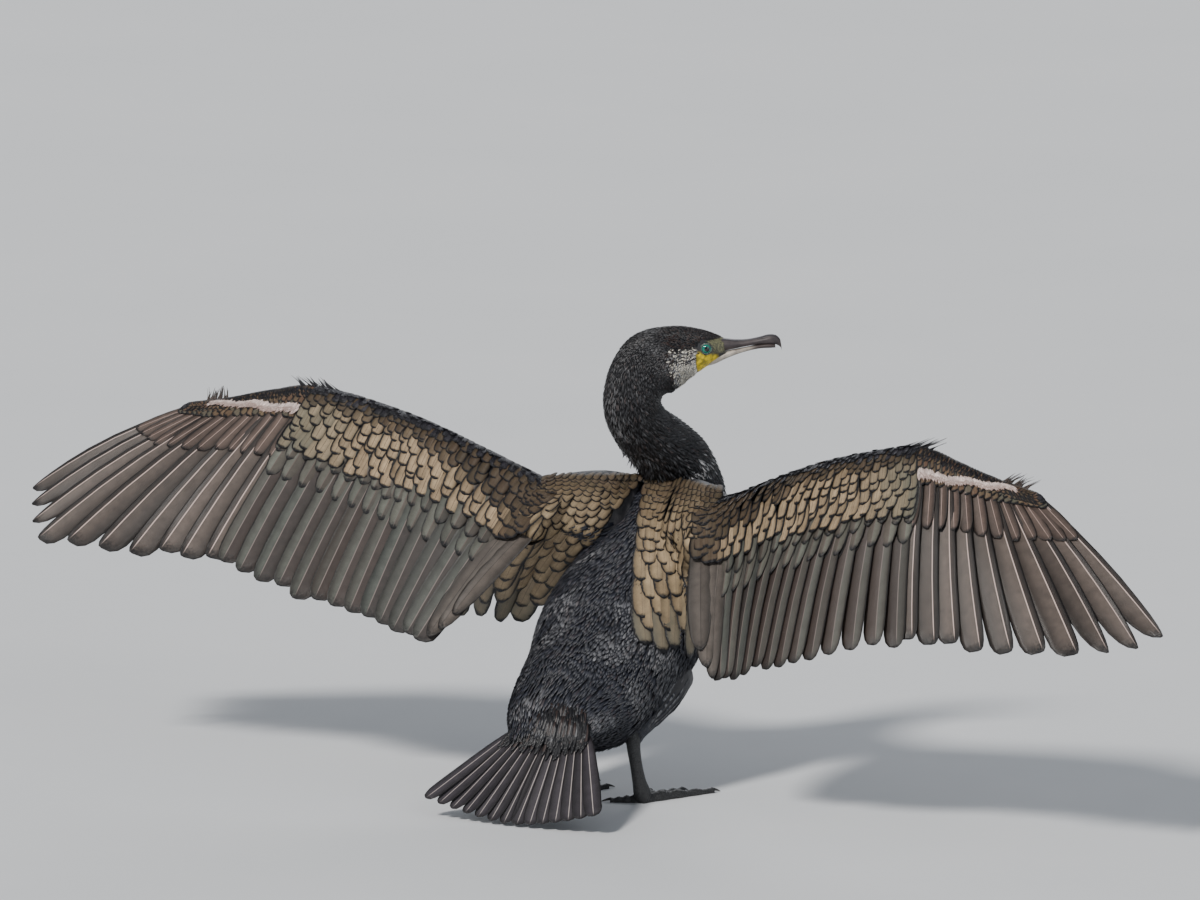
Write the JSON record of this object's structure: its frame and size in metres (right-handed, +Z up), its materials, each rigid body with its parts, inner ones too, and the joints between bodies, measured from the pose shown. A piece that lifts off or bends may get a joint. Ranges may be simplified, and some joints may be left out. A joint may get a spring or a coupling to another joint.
{
  "type": "cormorant figure",
  "caption": "Life-size standing cormorant with spread drying wings, fanned tail resting on the ground and head turned to its right.",
  "frame": {"origin": "on the ground under the middle of the bird's bounding box", "axes": "+Z up, +Y the way the bird's chest faces, +X towards the bird's right wing, which is also the long way across the spread wings"},
  "size_m": [1.3144, 0.3778, 0.4661],
  "materials": {
    "plumage": "soft overlapping feathers, black with a faint gloss",
    "wing_feathers": "bronze-brown feathers with near-black edges, satin",
    "tail_feathers": "stiff slate-grey feathers with pale shafts",
    "bill_horn": "dark horn, satin",
    "bill_pale": "pale horn, satin",
    "eye": "glossy, green iris round a dark pupil",
    "leg_skin": "black scaly skin, slight sheen"
  },
  "bodies": {
    "root": {"torso": "plumage", "neck_lower": "plumage", "neck_upper": "plumage", "head": "plumage", "bill_upper": "bill_horn", "bill_lower": "bill_pale", "tail": "tail_feathers", "eye_right": "eye", "shoulder_right": "wing_feathers", "wing_right_arm": "wing_feathers", "wing_right_hand": "wing_feathers", "thigh_right": "plumage", "shank_right": "leg_skin", "foot_right": "leg_skin", "eye_left": "eye", "shoulder_left": "wing_feathers", "wing_left_arm": "wing_feathers", "wing_left_hand": "wing_feathers", "thigh_left": "plumage", "shank_left": "leg_skin", "foot_left": "leg_skin"}
  },
  "joints": []
}
